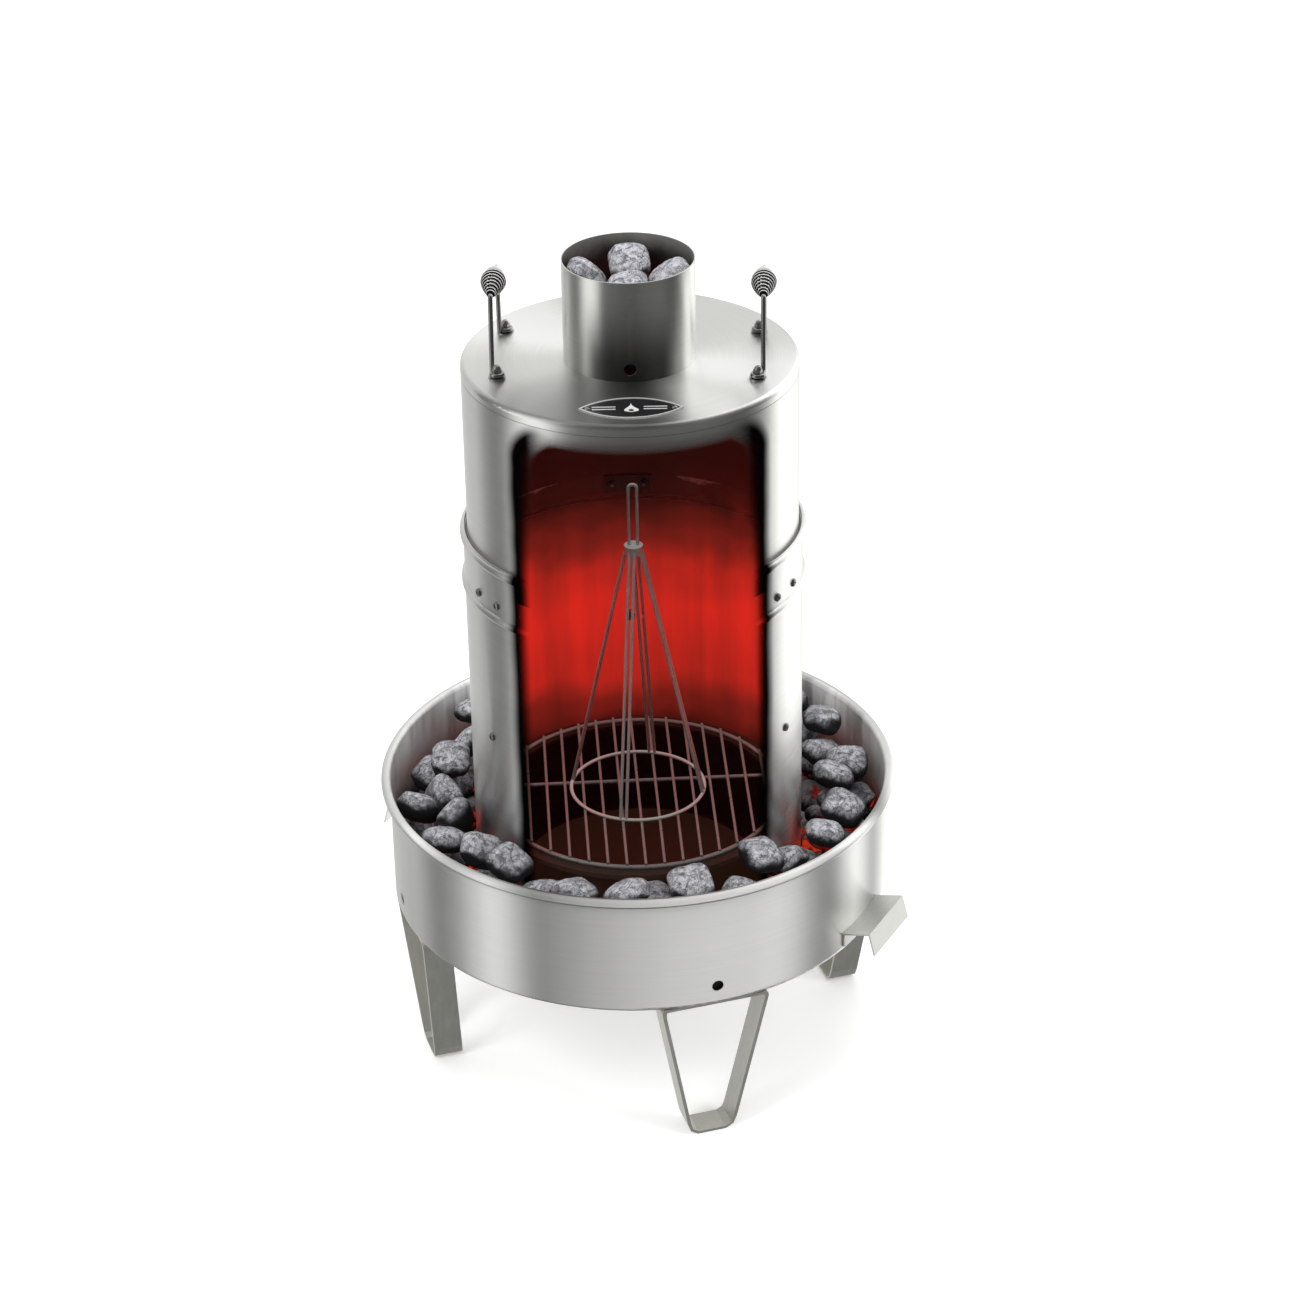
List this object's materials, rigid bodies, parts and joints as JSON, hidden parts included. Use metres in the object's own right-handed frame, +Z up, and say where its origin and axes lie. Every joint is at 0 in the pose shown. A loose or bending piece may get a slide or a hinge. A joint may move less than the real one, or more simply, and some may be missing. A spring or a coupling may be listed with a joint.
{
  "type": "charcoal convection cooker",
  "caption": "Legged stainless fire pan with a tall closed cooking chamber, lift-off lid with a charcoal cup and coil handles, and a drip pan, grate and poultry stand inside.",
  "frame": {"origin": "on the floor under the axis of the cooking chamber", "axes": "+Z up, -Y towards the nameplate at the front, +X to the right seen from the front"},
  "size_m": [0.5528, 0.5335, 0.8715],
  "materials": {
    "brushed_sheet": "brushed around the axis",
    "lid_sheet": "brushed around the axis",
    "cup_sheet": "brushed around the axis, sooty inside",
    "pan_sheet": "brushed around the axis",
    "leg_strap": "satin mill finish",
    "fasteners": "plated, slightly dull",
    "glowing_charcoal": "glowing coals",
    "ash_covered_charcoal": "black charcoal dusted with pale ash",
    "handle_wire": "bright drawn wire",
    "black_enamel": "gloss black in a bright border",
    "polished_emblem": "polished",
    "drip_pan_sheet": "heat-darkened",
    "plated_wire": "nickel-plated wire"
  },
  "bodies": {
    "base": {"fire_pan": "pan_sheet", "leg_front": "leg_strap", "leg_right": "leg_strap", "leg_rear": "leg_strap", "leg_left": "leg_strap", "leg_rivets": "fasteners", "pan_handle_right": "brushed_sheet", "pan_handle_left": "brushed_sheet", "pan_handle_rivets": "fasteners", "chamber_shell": "brushed_sheet", "chamber_bolts": "fasteners", "chamber_washers": "fasteners", "chamber_nuts": "fasteners", "lid_rest_right": "brushed_sheet", "lid_rest_rear": "brushed_sheet", "lid_rest_left": "brushed_sheet", "lid_rest_screws": "fasteners", "lid_rest_nuts": "fasteners", "rack_peg_right": "fasteners", "rack_peg_rear": "fasteners", "rack_peg_left": "fasteners", "rack_peg_screws": "fasteners", "pan_ember_bed": "glowing_charcoal", "pan_briquettes": "ash_covered_charcoal"},
    "drip_pan": {"drip_pan": "drip_pan_sheet"},
    "grate": {"cooking_grate": "plated_wire"},
    "stand": {"poultry_stand": "plated_wire"},
    "lid": {"lid_wall": "lid_sheet", "lid_cap": "lid_sheet", "charcoal_cup": "cup_sheet", "cup_ember_bed": "glowing_charcoal", "cup_briquettes": "ash_covered_charcoal", "handle_wire_right": "handle_wire", "handle_wire_left": "handle_wire", "coil_grip_right": "handle_wire", "coil_grip_left": "handle_wire", "handle_bolts": "fasteners", "handle_washers": "fasteners", "handle_nuts": "fasteners", "nameplate": "black_enamel", "nameplate_emblem": "polished_emblem", "nameplate_rivets": "fasteners"}
  },
  "joints": [
    {"name": "lid_lift", "type": "slide", "parent": "base", "child": "lid", "axis": [0, 0, 1], "range_m": [0, 0.35]},
    {"name": "drip_pan_lift", "type": "slide", "parent": "base", "child": "drip_pan", "axis": [0, 0, 1], "range_m": [0, 0.04]},
    {"name": "grate_lift", "type": "slide", "parent": "drip_pan", "child": "grate", "axis": [0, 0, 1], "range_m": [0, 0.04]},
    {"name": "stand_lift", "type": "slide", "parent": "grate", "child": "stand", "axis": [0, 0, 1], "range_m": [0, 0.045]}
  ]
}
